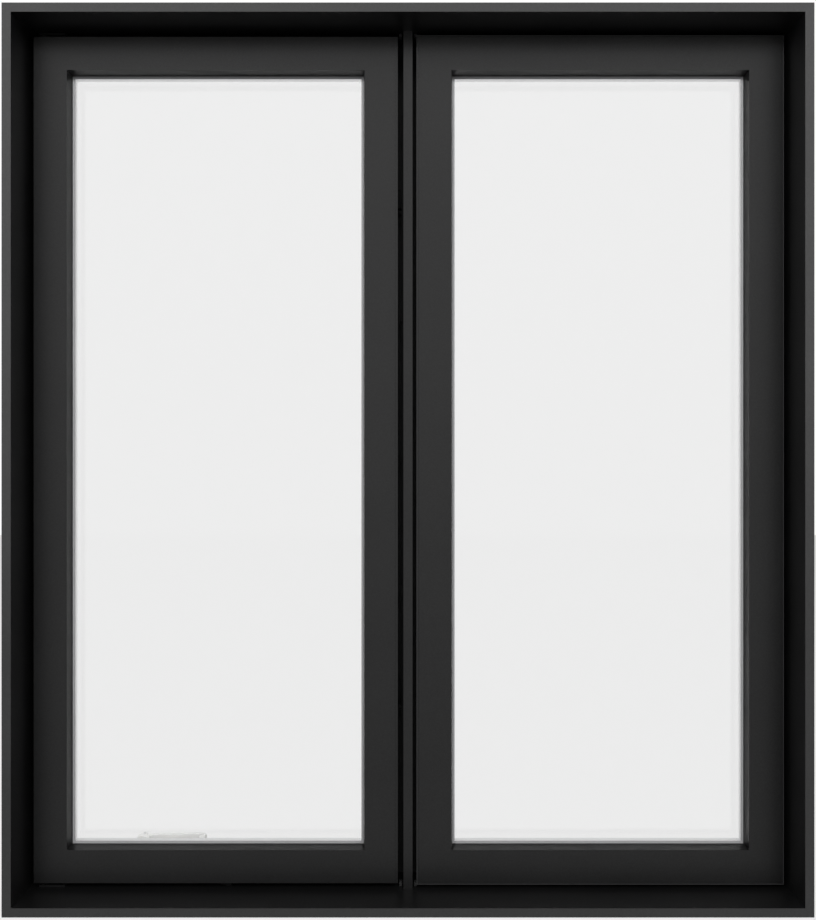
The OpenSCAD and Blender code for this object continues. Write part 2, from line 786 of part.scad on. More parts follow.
module tie_bar() {
    color(metal) translate([bar_x - bar_t, bar_y - bar_w / 2, bar_z]) cube([bar_t, bar_w, bar_len]);
}

module tie_bar_rollers() {
    color(metal) for (share = roller_shares) translate([0, bar_y, bar_z + bar_len * share])
        rod_x(roller_r, bar_x - bar_t - roller_len, bar_x - bar_t);
}

module tie_bar_guides() {
    foot = mullion_face / 2;
    out = foot + slide_fit + bar_t + slide_fit + guide_wall;
    half = bar_w / 2 + slide_fit + guide_wall;
    color("#202022") for (share = guide_shares)
        translate([0, bar_y, bar_z + bar_len * share]) difference() {
            translate([-out, -half, 0]) cube([out - foot, half + half, guide_len]);
            translate([-out + guide_wall, -half + guide_wall, -overrun])
                cube([out - foot, half + half - guide_wall - guide_wall, guide_len + overrun + overrun]);
        }
}

// Each keeper stands in the stile's groove, room side of the roller that rises in front of it
module lock_keepers() {
    y0 = bar_y + roller_r + slide_fit;
    x0 = -sash_inner_edge - groove_depth;
    color(metal) for (share = roller_shares)
        translate([0, 0, bar_z + bar_len * share + bar_travel - keeper_len / 2])
            linear_extrude(keeper_len) polygon([
                [x0, y0], [keeper_out_x, y0], [keeper_out_x, (y0 + web_back_y) / 2], [x0, web_back_y],
            ]);
}

outer_sill();
outer_jamb_right();
outer_head();
outer_jamb_left();
outer_mullion();
inner_sill();
inner_jamb_right();
inner_head();
inner_jamb_left();
inner_mullion();
seal_left();
seal_right();
fixed_outer_bottom_rail();
fixed_outer_right_stile();
fixed_outer_top_rail();
fixed_outer_left_stile();
fixed_inner_bottom_rail();
fixed_inner_right_stile();
fixed_inner_top_rail();
fixed_inner_left_stile();
fixed_outer_pane();
fixed_spacer();
fixed_inner_pane();
fixed_outer_gasket();
fixed_inner_gasket();
fixed_blocks();
fixed_retainer();
sash_outer_bottom_rail();
sash_outer_right_stile();
sash_outer_top_rail();
sash_outer_left_stile();
sash_inner_bottom_rail();
sash_inner_right_stile();
sash_inner_top_rail();
sash_inner_left_stile();
sash_outer_pane();
sash_spacer();
sash_inner_pane();
sash_outer_gasket();
sash_inner_gasket();
sash_blocks();
hinge_leaves();
sash_track();
lock_keepers();
lower_pivot_bracket();
upper_pivot_bracket();
operator_base();
operator_cover();
operator_arm();
arm_glide();
worm_shaft();
crank_hub();
fold_pin();
crank_handle();
crank_knob();
lock_case();
lock_lever();
tie_bar();
tie_bar_rollers();
tie_bar_guides();
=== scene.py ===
"""Looks of a double casement window with a crank-operated sash, dressed round its solids."""

import json
import math

import bmesh
import bpy
from mathutils import Matrix, Vector


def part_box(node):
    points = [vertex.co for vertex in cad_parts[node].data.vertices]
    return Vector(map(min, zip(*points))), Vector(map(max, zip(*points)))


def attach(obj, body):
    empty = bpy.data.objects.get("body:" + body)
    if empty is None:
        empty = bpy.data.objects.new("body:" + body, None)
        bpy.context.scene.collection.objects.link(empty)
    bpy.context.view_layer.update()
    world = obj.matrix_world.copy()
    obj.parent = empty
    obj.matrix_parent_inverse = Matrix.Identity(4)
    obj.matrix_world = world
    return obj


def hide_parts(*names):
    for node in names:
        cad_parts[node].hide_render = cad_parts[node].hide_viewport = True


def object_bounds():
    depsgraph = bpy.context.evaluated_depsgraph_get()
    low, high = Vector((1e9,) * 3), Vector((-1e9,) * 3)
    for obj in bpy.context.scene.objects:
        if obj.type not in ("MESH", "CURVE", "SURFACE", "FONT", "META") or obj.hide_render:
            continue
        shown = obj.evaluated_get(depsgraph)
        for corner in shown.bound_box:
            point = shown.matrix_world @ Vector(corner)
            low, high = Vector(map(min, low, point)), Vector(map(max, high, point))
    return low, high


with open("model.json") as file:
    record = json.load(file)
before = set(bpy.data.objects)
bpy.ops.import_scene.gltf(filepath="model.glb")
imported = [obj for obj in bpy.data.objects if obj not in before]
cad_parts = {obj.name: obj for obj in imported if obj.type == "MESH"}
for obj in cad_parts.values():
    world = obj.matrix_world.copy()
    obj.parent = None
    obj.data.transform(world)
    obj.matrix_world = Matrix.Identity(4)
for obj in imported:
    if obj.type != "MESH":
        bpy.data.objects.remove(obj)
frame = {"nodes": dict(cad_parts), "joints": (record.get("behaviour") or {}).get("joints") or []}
CAD_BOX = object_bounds()

bl_info = {
    "name": "Casement Window Looks",
    "version": (1, 0, 0),
    "blender": (4, 5, 0),
    "location": "View3D > Sidebar > Window",
    "description": "Coats, glazes and fits out a double casement window round its solids",
    "category": "Object",
}

MM = 0.001
WHITE = (1.0, 1.0, 1.0, 1.0)
FULL = (0.0, 1.0)
AT_ORIGIN = Matrix.Identity(4)

# Names of the solids, and the mark that keeps a finish apart from a slot of the same name

BARS = ("bottom_rail", "right_stile", "top_rail", "left_stile")
SASHES = ("fixed", "sash")
FRAME_BARS = ("sill", "jamb_right", "head", "jamb_left", "mullion")
DARK_PLATES = (
    "hinge_leaves", "lower_pivot_bracket", "upper_pivot_bracket", "sash_track", "lock_keepers",
    "operator_arm", "tie_bar", "tie_bar_rollers",
)
FINISH_MARK = "_finish"

# Surface values: ranges of noise and tone, and how far roughness strays from its middle

NOISE_MIDDLE = (0.3, 0.7)
FINE_SHARE = 0.7
FACING_UP = (0.2, 1.0)
DUST_PATCHES = (0.35, 0.75)
DUST_LIFT = 1.6
LINE_STRETCH = (0.06, 1.0, 0.06)
COAT_STRAY = (-0.05, 0.06)
COAT_RELIEF = 0.05 * MM
GLINT_TONES = (0.2, 0.9)
METAL_TONES = (0.86, 1.1)
METAL_STRAY = (-0.07, 0.09)
METAL_BUMP = 0.25
METAL_RELIEF = 0.03 * MM
GLASS_IOR = 1.45
HAZE_SCALE = 9.0
HAZE_PATCHES = (0.5, 0.8)
HAZE_ROUGHNESS = (0.0, 0.012)
SOFT_ANGLE = math.radians(35.0)
MOULDED_SEGMENTS = 3

# Screws and foam pads: shares are of the plate or case that carries them

BRACKET_PLATE = 3.0 * MM
BRACKET_SCREW_SHARES = ((0.55, 0.72), (0.85, 0.72))
CASE_SCREW_SHARES = (0.05, 0.95)
CASE_SCREW_SCALE = 0.8
PAD_CLEARANCE = 2.4 * MM
PAD_SETBACK = 7.0 * MM
PAD_DEPTH = 10.0 * MM
UPPER_PAD_HEIGHT = 5.0 * MM
LOWER_PAD_HEIGHT = 6.0 * MM
PAD_EDGE = 0.8 * MM

# Stage values: the key lamp's place is from the window's middle, the room lamp's from the origin

KEY_PLACE = (0.0, -2.4, 1.8)
KEY_SIZE = (4.5, 0.8)
KEY_SPREAD = math.radians(110.0)
ROOM_PLACE = (0.6, 2.4, 2.8)
ROOM_SIZE = (2.2, 1.4)
SENSOR_WIDTH = 36.0
FLOOR_REACH = 6.0
FLOOR_DEPTH = 20.0 * MM
FLOOR_GAP = 0.5 * MM
FLOOR_TONES = (0.99, 1.01)
FLOOR_IN_GLOSS = 0.48
FLOOR_WHITENING = 0.62

# Brightness of the world in gloss: a range of direction, then the range of strength for it

RISE = ((-0.5, 0.5), (0.50, 1.08))
OVERHEAD = ((0.7, 0.95), (1.0, 0.35))
SIDES = ((0.6, 0.95), (0.0, 1.8))


# Settings

class CoatSettings(bpy.types.PropertyGroup):
    """Colours and surface of the coated and painted bars."""

    frame_colour: bpy.props.FloatVectorProperty(
        name="Frame colour", description="Black powder coat of the frame bars",
        default=(0.003, 0.003, 0.0031), subtype="COLOR", size=3, min=0.0, max=1.0)
    sash_colour: bpy.props.FloatVectorProperty(
        name="Sash colour", description="Black powder coat of the sash bars",
        default=(0.003, 0.003, 0.0031), subtype="COLOR", size=3, min=0.0, max=1.0)
    bead_colour: bpy.props.FloatVectorProperty(
        name="Bead colour", description="Bead round the stationary sash",
        default=(0.016, 0.016, 0.0165), subtype="COLOR", size=3, min=0.0, max=1.0)
    room_colour: bpy.props.FloatVectorProperty(
        name="Room side colour", description="White paint of the inner bars",
        default=(0.78, 0.78, 0.765), subtype="COLOR", size=3, min=0.0, max=1.0)
    bar_edge: bpy.props.FloatProperty(
        name="Bar edge", description="Radius of the edges of the coated bars",
        default=0.7 * MM, unit="LENGTH", min=0.0)
    room_edge: bpy.props.FloatProperty(
        name="Room side edge", description="Radius of the edges of the white bars",
        default=0.8 * MM, unit="LENGTH", min=0.0)
    grain_size: bpy.props.FloatProperty(
        name="Grain size", description="Spacing of the fine grain in the powder coat",
        default=2.0 * MM, unit="LENGTH", min=0.01 * MM)


class GlassSettings(bpy.types.PropertyGroup):
    """Glass, spacer and rubber."""

    glass_colour: bpy.props.FloatVectorProperty(
        name="Glass colour", description="Tint of one pane",
        default=(0.921, 0.921, 0.921), subtype="COLOR", size=3, min=0.0, max=1.0)
    spacer_colour: bpy.props.FloatVectorProperty(
        name="Spacer colour", description="Aluminium spacer between the panes",
        default=(0.92, 0.92, 0.93), subtype="COLOR", size=3, min=0.0, max=1.0)
    gasket_colour: bpy.props.FloatVectorProperty(
        name="Gasket colour", description="Grey glazing gasket",
        default=(0.25, 0.25, 0.255), subtype="COLOR", size=3, min=0.0, max=1.0)
    rubber_colour: bpy.props.FloatVectorProperty(
        name="Rubber colour", description="Weather seals and setting blocks",
        default=(0.012, 0.012, 0.012), subtype="COLOR", size=3, min=0.0, max=1.0)
    gasket_edge: bpy.props.FloatProperty(
        name="Gasket edge", description="Radius of the gasket's lip",
        default=0.4 * MM, unit="LENGTH", min=0.0)


class HardwareSettings(bpy.types.PropertyGroup):
    """Crank, hinges, lock and fasteners."""

    hardware_colour: bpy.props.FloatVectorProperty(
        name="Hardware colour", description="White finish of crank, cover and lock",
        default=(0.80, 0.80, 0.79), subtype="COLOR", size=3, min=0.0, max=1.0)
    steel_colour: bpy.props.FloatVectorProperty(
        name="Steel colour", description="Zinc-plated steel",
        default=(0.52, 0.53, 0.54), subtype="COLOR", size=3, min=0.0, max=1.0)
    plate_colour: bpy.props.FloatVectorProperty(
        name="Plate colour", description="Black steel of hinges, track, arm and tie bar",
        default=(0.006, 0.006, 0.0062), subtype="COLOR", size=3, min=0.0, max=1.0)
    nylon_colour: bpy.props.FloatVectorProperty(
        name="Nylon colour", description="Glide and guides",
        default=(0.006, 0.006, 0.006), subtype="COLOR", size=3, min=0.0, max=1.0)
    foam_colour: bpy.props.FloatVectorProperty(
        name="Foam colour", description="Pads in the gap's corners",
        default=(0.022, 0.022, 0.022), subtype="COLOR", size=3, min=0.0, max=1.0)
    cover_edge: bpy.props.FloatProperty(
        name="Cover edge", description="Radius of the edges of cover and handle",
        default=1.2 * MM, unit="LENGTH", min=0.0)
    plate_edge: bpy.props.FloatProperty(
        name="Plate edge", description="Radius of the edges of stamped plates",
        default=0.35 * MM, unit="LENGTH", min=0.0)
    screw_radius: bpy.props.FloatProperty(
        name="Screw head", description="Radius of a screw head",
        default=3.0 * MM, unit="LENGTH", min=0.0)
    worm_pitch: bpy.props.FloatProperty(
        name="Worm pitch", description="Rise of the worm thread in one turn",
        default=2.35 * MM, unit="LENGTH", min=0.1 * MM)
    pad_size: bpy.props.FloatProperty(
        name="Corner pad", description="Width of the foam pads in the gap's corners",
        default=4.6 * MM, unit="LENGTH", min=0.0)


class StageSettings(bpy.types.PropertyGroup):
    """Camera, lamps and floor."""

    camera_distance: bpy.props.FloatProperty(
        name="Camera distance", description="Distance of the camera from the window's middle plane",
        default=1.254, unit="LENGTH", min=0.1)
    camera_lens: bpy.props.FloatProperty(
        name="Lens", description="Focal length", default=31.03, min=1.0)
    key_power: bpy.props.FloatProperty(
        name="Key lamp", description="Power of the wide lamp in front", default=72.0, min=0.0)
    room_power: bpy.props.FloatProperty(
        name="Room lamp", description="Power of the lamp on the room side", default=44.0, min=0.0)
    ambient: bpy.props.FloatProperty(
        name="Ambient", description="Strength of the light from all round", default=0.45, min=0.0)
    floor_colour: bpy.props.FloatVectorProperty(
        name="Floor colour", description="Pale floor",
        default=(0.52, 0.52, 0.52), subtype="COLOR", size=3, min=0.0, max=1.0)


SETTINGS = {
    "window_coat": CoatSettings,
    "window_glass": GlassSettings,
    "window_hardware": HardwareSettings,
    "window_stage": StageSettings,
}


# Nodes

def noise(tree, vector, scale, detail):
    """A noise texture; the scale is a number or an output socket."""
    texture = tree.nodes.new("ShaderNodeTexNoise")
    texture.inputs["Detail"].default_value = detail
    if isinstance(scale, (int, float)):
        texture.inputs["Scale"].default_value = scale
    else:
        tree.links.new(scale, texture.inputs["Scale"])
    tree.links.new(vector, texture.inputs["Vector"])
    return texture.outputs["Fac"]


def combine(tree, operation, *values):
    """One math node; each value is a number or an output socket."""
    node = tree.nodes.new("ShaderNodeMath")
    node.operation = operation
    for socket, value in zip(node.inputs, values):
        if isinstance(value, (int, float)):
            socket.default_value = value
        else:
            tree.links.new(value, socket)
    return node.outputs["Value"]


def spread(tree, value, given, wanted):
    """A value mapped from a given range to a wanted one, and held inside it."""
    node = tree.nodes.new("ShaderNodeMapRange")
    labels = ("From Min", "From Max", "To Min", "To Max")
    for label, number in zip(labels, (*given, *wanted)):
        node.inputs[label].default_value = number
    tree.links.new(value, node.inputs["Value"])
    return node.outputs["Result"]


def mix_colours(tree, factor, first, second):
    """Two colours mixed by a factor; the first may be a socket."""
    node = tree.nodes.new("ShaderNodeMix")
    node.data_type = "RGBA"
    tree.links.new(factor, node.inputs["Factor"])
    if hasattr(first, "is_linked"):
        tree.links.new(first, node.inputs["A"])
    else:
        node.inputs["A"].default_value = (*first, 1.0)
    node.inputs["B"].default_value = (*second, 1.0)
    return node.outputs["Result"]


def choose_shader(tree, factor, first, second):
    """The second shader where the factor is 1, and the first where it is 0."""
    node = tree.nodes.new("ShaderNodeMixShader")
    tree.links.new(factor, node.inputs["Fac"])
    tree.links.new(first, node.inputs[1])
    tree.links.new(second, node.inputs[2])
    return node.outputs["Shader"]


def bump(tree, surface, height, strength, distance):
    """Relief from a height, fed to the surface's normal."""
    node = tree.nodes.new("ShaderNodeBump")
    node.inputs["Strength"].default_value = strength
    node.inputs["Distance"].default_value = distance
    tree.links.new(height, node.inputs["Height"])
    tree.links.new(node.outputs["Normal"], surface.inputs["Normal"])


def object_place(tree):
    """The place on the object, for textures."""
    return tree.nodes.new("ShaderNodeTexCoord").outputs["Object"]


# Shared surface effects

def new_group(name, inputs, outputs):
    """An empty shader group with float inputs, given as name and default, and named outputs."""
    group = bpy.data.node_groups.new(name, "ShaderNodeTree")
    for label, value in inputs:
        socket = group.interface.new_socket(label, in_out="INPUT", socket_type="NodeSocketFloat")
        socket.default_value = value
    for label in outputs:
        group.interface.new_socket(label, in_out="OUTPUT", socket_type="NodeSocketFloat")
    return group, group.nodes.new("NodeGroupInput"), group.nodes.new("NodeGroupOutput")


def powder_grain_group():
    """Fine orange-peel grain of a powder coat, with slow clouds of tone."""
    group, given, made = new_group(
        "Powder grain", (("Grain scale", 1100.0), ("Cloud scale", 7.0)), ("Tone", "Height"))
    place = object_place(group)
    fine = noise(group, place, given.outputs["Grain scale"], detail=2.0)
    cloud = noise(group, place, given.outputs["Cloud scale"], detail=3.0)
    fine_tone = spread(group, fine, NOISE_MIDDLE, (0.0, FINE_SHARE))
    cloud_tone = spread(group, cloud, NOISE_MIDDLE, (0.0, 1.0 - FINE_SHARE))
    group.links.new(combine(group, "ADD", fine_tone, cloud_tone), made.inputs["Tone"])
    group.links.new(fine, made.inputs["Height"])


def settled_dust_group():
    """Thin dust where a surface faces up, broken into patches."""
    group, given, made = new_group(
        "Settled dust", (("Patch scale", 60.0), ("Amount", 0.2)), ("Dust",))
    geometry = group.nodes.new("ShaderNodeNewGeometry")
    split = group.nodes.new("ShaderNodeSeparateXYZ")
    group.links.new(geometry.outputs["Normal"], split.inputs["Vector"])
    up = spread(group, split.outputs["Z"], FACING_UP, FULL)
    cloud = noise(group, object_place(group), given.outputs["Patch scale"], detail=4.0)
    patch = spread(group, cloud, DUST_PATCHES, FULL)
    lying = combine(group, "MULTIPLY", up, patch)
    dust = combine(group, "MULTIPLY", lying, given.outputs["Amount"])
    group.links.new(dust, made.inputs["Dust"])


def drawn_lines_group():
    """Long fine lines left by drawing or rolling metal along the object's length."""
    group, given, made = new_group("Drawn lines", (("Line scale", 900.0),), ("Lines",))
    stretch = group.nodes.new("ShaderNodeMapping")
    stretch.inputs["Scale"].default_value = LINE_STRETCH
    group.links.new(object_place(group), stretch.inputs["Vector"])
    lines = noise(group, stretch.outputs["Vector"], given.outputs["Line scale"], detail=3.0)
    group.links.new(lines, made.inputs["Lines"])


def place_group(tree, name, **values):
    """A shared effect in a material, with its own values."""
    node = tree.nodes.new("ShaderNodeGroup")
    node.node_tree = bpy.data.node_groups[name]
    for label, value in values.items():
        node.inputs[label.replace("_", " ")].default_value = value
    return node


# Finishes

def new_finish(name):
    """An empty material; returns its node tree and its Principled surface."""
    material = bpy.data.materials.new(name + FINISH_MARK)
    material.use_nodes = True
    tree = material.node_tree
    return tree, tree.nodes["Principled BSDF"]


def finish_named(name):
    """A finish that has been made."""
    return bpy.data.materials[name + FINISH_MARK]


def scaled(colour, factor):
    """A colour made lighter or darker."""
    return tuple(min(1.0, part * factor) for part in colour)


def around(middle, stray):
    """A range that strays from a middle value to both sides."""
    return tuple(middle + offset for offset in stray)


def coat_finish(name, colour, grain_size, roughness, specular,
                contrast=0.14, dust=0.25, relief=0.5, glint=0.0):
    """Satin coat or paint with fine grain and a little dust on what faces up."""
    colour = tuple(colour)
    tree, surface = new_finish(name)
    grain = place_group(tree, "Powder grain", Grain_scale=1.0 / grain_size)
    settled = place_group(tree, "Settled dust", Amount=dust)
    dark = scaled(colour, 1.0 - contrast)
    light = scaled(colour, 1.0 + contrast)
    tone = mix_colours(tree, grain.outputs["Tone"], dark, light)
    dusted = scaled(colour, 1.0 + DUST_LIFT * dust)
    dusty = mix_colours(tree, settled.outputs["Dust"], tone, dusted)
    tree.links.new(dusty, surface.inputs["Base Color"])
    rough = spread(tree, grain.outputs["Tone"], FULL, around(roughness, COAT_STRAY))
    tree.links.new(rough, surface.inputs["Roughness"])
    surface.inputs["Specular IOR Level"].default_value = specular
    if glint > 0.0:
        glinting = spread(tree, grain.outputs["Tone"], GLINT_TONES, (0.0, glint))
        tree.links.new(glinting, surface.inputs["Coat Weight"])
        surface.inputs["Coat Roughness"].default_value = roughness
    bump(tree, surface, grain.outputs["Height"], relief, COAT_RELIEF)


def metal_finish(name, colour, roughness):
    """Plated or mill metal with drawn lines."""
    tree, surface = new_finish(name)
    lines = place_group(tree, "Drawn lines").outputs["Lines"]
    dark, light = (scaled(tuple(colour), factor) for factor in METAL_TONES)
    tree.links.new(mix_colours(tree, lines, dark, light), surface.inputs["Base Color"])
    rough = spread(tree, lines, NOISE_MIDDLE, around(roughness, METAL_STRAY))
    tree.links.new(rough, surface.inputs["Roughness"])
    surface.inputs["Metallic"].default_value = 1.0
    bump(tree, surface, lines, METAL_BUMP, METAL_RELIEF)


def glass_finish(name, colour):
    """Clear float glass with a trace of haze; light for shadows passes straight through."""
    tree, surface = new_finish(name)
    haze = noise(tree, object_place(tree), HAZE_SCALE, detail=4.0)
    rough = spread(tree, haze, HAZE_PATCHES, HAZE_ROUGHNESS)
    tree.links.new(rough, surface.inputs["Roughness"])
    surface.inputs["Base Color"].default_value = (*colour, 1.0)
    surface.inputs["Transmission Weight"].default_value = 1.0
    surface.inputs["IOR"].default_value = GLASS_IOR
    clear = tree.nodes.new("ShaderNodeBsdfTransparent")
    clear.inputs["Color"].default_value = (*colour, 1.0)
    shadow = tree.nodes.new("ShaderNodeLightPath").outputs["Is Shadow Ray"]
    shader = choose_shader(tree, shadow, surface.outputs["BSDF"], clear.outputs["BSDF"])
    tree.links.new(shader, tree.nodes["Material Output"].inputs["Surface"])


def make_finishes(scene):
    """All finishes, made once and kept by name in the file."""
    powder_grain_group()
    settled_dust_group()
    drawn_lines_group()
    coat = scene.window_coat
    glass = scene.window_glass
    hardware = scene.window_hardware
    grain = coat.grain_size
    coat_finish("black_coat", coat.frame_colour, grain_size=grain,
                roughness=0.36, specular=0.90, dust=0.05, glint=0.3)
    coat_finish("black_coat_sash", coat.sash_colour, grain_size=grain,
                roughness=0.42, specular=0.48, dust=0.05, glint=0.16)
    coat_finish("bead_vinyl", coat.bead_colour, grain_size=grain,
                roughness=0.45, specular=0.35)
    coat_finish("white_paint", coat.room_colour, grain_size=1.6 * grain,
                roughness=0.42, specular=0.45, contrast=0.025, dust=0.02, relief=0.25)
    coat_finish("white_hardware", hardware.hardware_colour, grain_size=2.0 * grain,
                roughness=0.30, specular=0.5, contrast=0.02, dust=0.02, relief=0.15)
    coat_finish("grey_gasket", glass.gasket_colour, grain_size=0.8 * grain,
                roughness=0.72, specular=0.3, contrast=0.10, dust=0.10, relief=0.6)
    coat_finish("black_rubber", glass.rubber_colour, grain_size=0.8 * grain,
                roughness=0.75, specular=0.25, contrast=0.2, dust=0.3, relief=0.6)
    coat_finish("black_nylon", hardware.nylon_colour, grain_size=grain,
                roughness=0.7, specular=0.08, contrast=0.15, dust=0.2, relief=0.3)
    coat_finish("grey_foam", hardware.foam_colour, grain_size=0.7 * grain,
                roughness=0.9, specular=0.1, contrast=0.12, dust=0.05, relief=1.0)
    coat_finish("dark_steel", hardware.plate_colour, grain_size=grain,
                roughness=0.6, specular=0.08, contrast=0.2, dust=0.2, relief=0.3)
    metal_finish("spacer_bar", glass.spacer_colour, roughness=0.42)
    metal_finish("plated_steel", hardware.steel_colour, roughness=0.34)
    glass_finish("clear_glass", glass.glass_colour)


# Work on the solids

def dress(node, finish, edge=0.0, segments=2):
    """Gives a solid its finish and, where an edge radius is given, softens its edges."""
    piece = frame["nodes"][node]
    piece.data.materials.clear()
    piece.data.materials.append(finish_named(finish))
    if edge > 0.0:
        soften = piece.modifiers.new("Soft edges", "BEVEL")
        soften.width = edge
        soften.segments = segments
        soften.limit_method = "ANGLE"
        soften.angle_limit = SOFT_ANGLE
        soften.harden_normals = True
        soften.use_clamp_overlap = True


class WINDOW_OT_coat_frame(bpy.types.Operator):
    """Coats the black frame bars and softens their edges"""

    bl_idname = "window.coat_frame"
    bl_label = "Coat Frame"

    def execute(self, context):
        edge = context.scene.window_coat.bar_edge
        for bar in FRAME_BARS:
            dress("outer_" + bar, "black_coat_sash" if bar == "mullion" else "black_coat", edge)
        return {"FINISHED"}


class WINDOW_OT_coat_sashes(bpy.types.Operator):
    """Coats the outer bars of both sashes, and the bead round the stationary one"""

    bl_idname = "window.coat_sashes"
    bl_label = "Coat Sashes"

    def execute(self, context):
        edge = context.scene.window_coat.bar_edge
        for sash in SASHES:
            for bar in BARS:
                dress(f"{sash}_outer_{bar}", "black_coat_sash", edge)
        dress("fixed_retainer", "bead_vinyl", edge / 2)
        return {"FINISHED"}


class WINDOW_OT_paint_room_side(bpy.types.Operator):
    """Paints the white bars that face the room"""

    bl_idname = "window.paint_room_side"
    bl_label = "Paint Room Side"

    def execute(self, context):
        edge = context.scene.window_coat.room_edge
        for bar in FRAME_BARS:
            dress("inner_" + bar, "white_paint", edge)
        for sash in SASHES:
            for bar in BARS:
                dress(f"{sash}_inner_{bar}", "white_paint", edge)
        return {"FINISHED"}


class WINDOW_OT_glaze(bpy.types.Operator):
    """Finishes panes, spacers, gaskets, setting blocks and seals"""

    bl_idname = "window.glaze"
    bl_label = "Glaze"

    def execute(self, context):
        edge = context.scene.window_glass.gasket_edge
        for sash in SASHES:
            dress(f"{sash}_outer_pane", "clear_glass")
            dress(f"{sash}_inner_pane", "clear_glass")
            dress(f"{sash}_spacer", "spacer_bar")
            dress(f"{sash}_outer_gasket", "grey_gasket", edge)
            dress(f"{sash}_inner_gasket", "grey_gasket", edge)
            dress(f"{sash}_blocks", "black_rubber", edge)
        dress("seal_left", "black_rubber", edge)
        dress("seal_right", "black_rubber", edge)
        return {"FINISHED"}


class WINDOW_OT_finish_hardware(bpy.types.Operator):
    """Finishes hinges, track, crank gear and lock"""

    bl_idname = "window.finish_hardware"
    bl_label = "Finish Hardware"

    def execute(self, context):
        hardware = context.scene.window_hardware
        for node in DARK_PLATES:
            dress(node, "dark_steel", hardware.plate_edge)
        for node in ("operator_base", "fold_pin"):
            dress(node, "plated_steel", hardware.plate_edge)
        for node in ("arm_glide", "tie_bar_guides"):
            dress(node, "black_nylon", hardware.plate_edge)
        for node in ("operator_cover", "crank_handle", "lock_case", "lock_lever"):
            dress(node, "white_hardware", hardware.cover_edge, MOULDED_SEGMENTS)
        for node in ("crank_hub", "crank_knob"):
            dress(node, "white_hardware", hardware.cover_edge / 2, MOULDED_SEGMENTS)
        return {"FINISHED"}


# Small pieces

def new_piece(name, mesh, finish, body, place=AT_ORIGIN):
    """A piece of the scene's own that rides on a body and takes the finish of the given name."""
    piece = bpy.data.objects.new(name, mesh)
    piece.matrix_world = place
    bpy.context.scene.collection.objects.link(piece)
    if not mesh.materials:
        mesh.materials.append(finish_named(finish))
    bpy.context.view_layer.update()
    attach(piece, body)
    return piece


def finished_mesh(work, name):
    """A mesh from worked points and faces, with all faces turned outwards."""
    bmesh.ops.recalc_face_normals(work, faces=work.faces)
    mesh = bpy.data.meshes.new(name)
    work.to_mesh(mesh)
    work.free()
    return mesh


def ring(work, radii, z):
    """A loop of points round the Z axis, with a radius for each point."""
    loop = []
    for number, radius in enumerate(radii):
        angle = 2 * math.pi * number / len(radii)
        loop.append(work.verts.new((radius * math.cos(angle), radius * math.sin(angle), z)))
    return loop


def next_pairs(items):
    """Each item with the one after it, the last with the first."""
    return zip(items, items[1:] + items[:1])


def skin(work, loops):
    """Faces between loops of points that follow each other."""
    for low, high in zip(loops, loops[1:]):
        for (low_a, low_b), (high_a, high_b) in zip(next_pairs(low), next_pairs(high)):
            work.faces.new((low_a, low_b, high_b, high_a))


def screw_mesh(name, radius):
    """A pan-head screw top with a cross recess, standing on its base, along +Z."""
    count = 24
    head = 0.55 * radius
    arm = 0.62 * radius
    slot = 0.13 * radius
    recess_floor = 0.45 * head
    recess_taper = 0.8
    ring_shares = ((1.0, 0.0), (1.0, 0.35), (0.93, 0.7), (0.72, 0.94))
    work = bmesh.new()
    loops = [ring(work, [share * radius] * count, level * head) for share, level in ring_shares]
    skin(work, loops)
    cross = [
        (arm, -slot), (arm, slot), (slot, slot), (slot, arm), (-slot, arm), (-slot, slot),
        (-arm, slot), (-arm, -slot), (-slot, -slot), (-slot, -arm), (slot, -arm), (slot, -slot),
    ]
    brim = [work.verts.new((x, y, head)) for x, y in cross]
    floor = [work.verts.new((recess_taper * x, recess_taper * y, recess_floor)) for x, y in cross]
    skin(work, [brim, floor])
    work.faces.new(floor)
    top_edges = [work.edges.get(pair) for loop in (loops[-1], brim) for pair in next_pairs(loop)]
    bmesh.ops.triangle_fill(work, use_beauty=True, edges=top_edges)
    work.faces.new(list(reversed(loops[0])))
    return finished_mesh(work, name)


class WINDOW_OT_drive_screws(bpy.types.Operator):
    """Drives the screws of hinge brackets and lock case"""

    bl_idname = "window.drive_screws"
    bl_label = "Drive Screws"

    def execute(self, context):
        radius = context.scene.window_hardware.screw_radius
        steel = screw_mesh("steel_screw", radius)
        white = screw_mesh("white_screw", CASE_SCREW_SCALE * radius)
        self.screw_bracket("lower_pivot_bracket", steel, upwards=True)
        self.screw_bracket("upper_pivot_bracket", steel, upwards=False)
        self.screw_case(white)
        return {"FINISHED"}

    def screw_bracket(self, bracket, mesh, upwards):
        """Two screws through the plate of a hinge bracket."""
        low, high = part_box(bracket)
        z = low[2] + BRACKET_PLATE if upwards else high[2] - BRACKET_PLATE
        turn = Matrix.Rotation(0.0 if upwards else math.pi, 4, "X")
        for number, (along, across) in enumerate(BRACKET_SCREW_SHARES):
            x = low[0] + (high[0] - low[0]) * along
            y = low[1] + (high[1] - low[1]) * across
            place = Matrix.Translation((x, y, z)) @ turn
            new_piece(f"{bracket}_screw_{number}", mesh, "dark_steel", "frame", place)

    def screw_case(self, mesh):
        """Two screws near the ends of the lock case, clear of the lever."""
        low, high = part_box("lock_case")
        to_room = Matrix.Rotation(-math.pi / 2, 4, "X")
        x = (low[0] + high[0]) / 2
        for number, share in enumerate(CASE_SCREW_SHARES):
            z = low[2] + (high[2] - low[2]) * share
            place = Matrix.Translation((x, high[1], z)) @ to_room
            new_piece(f"lock_case_screw_{number}", mesh, "white_hardware", "frame", place)


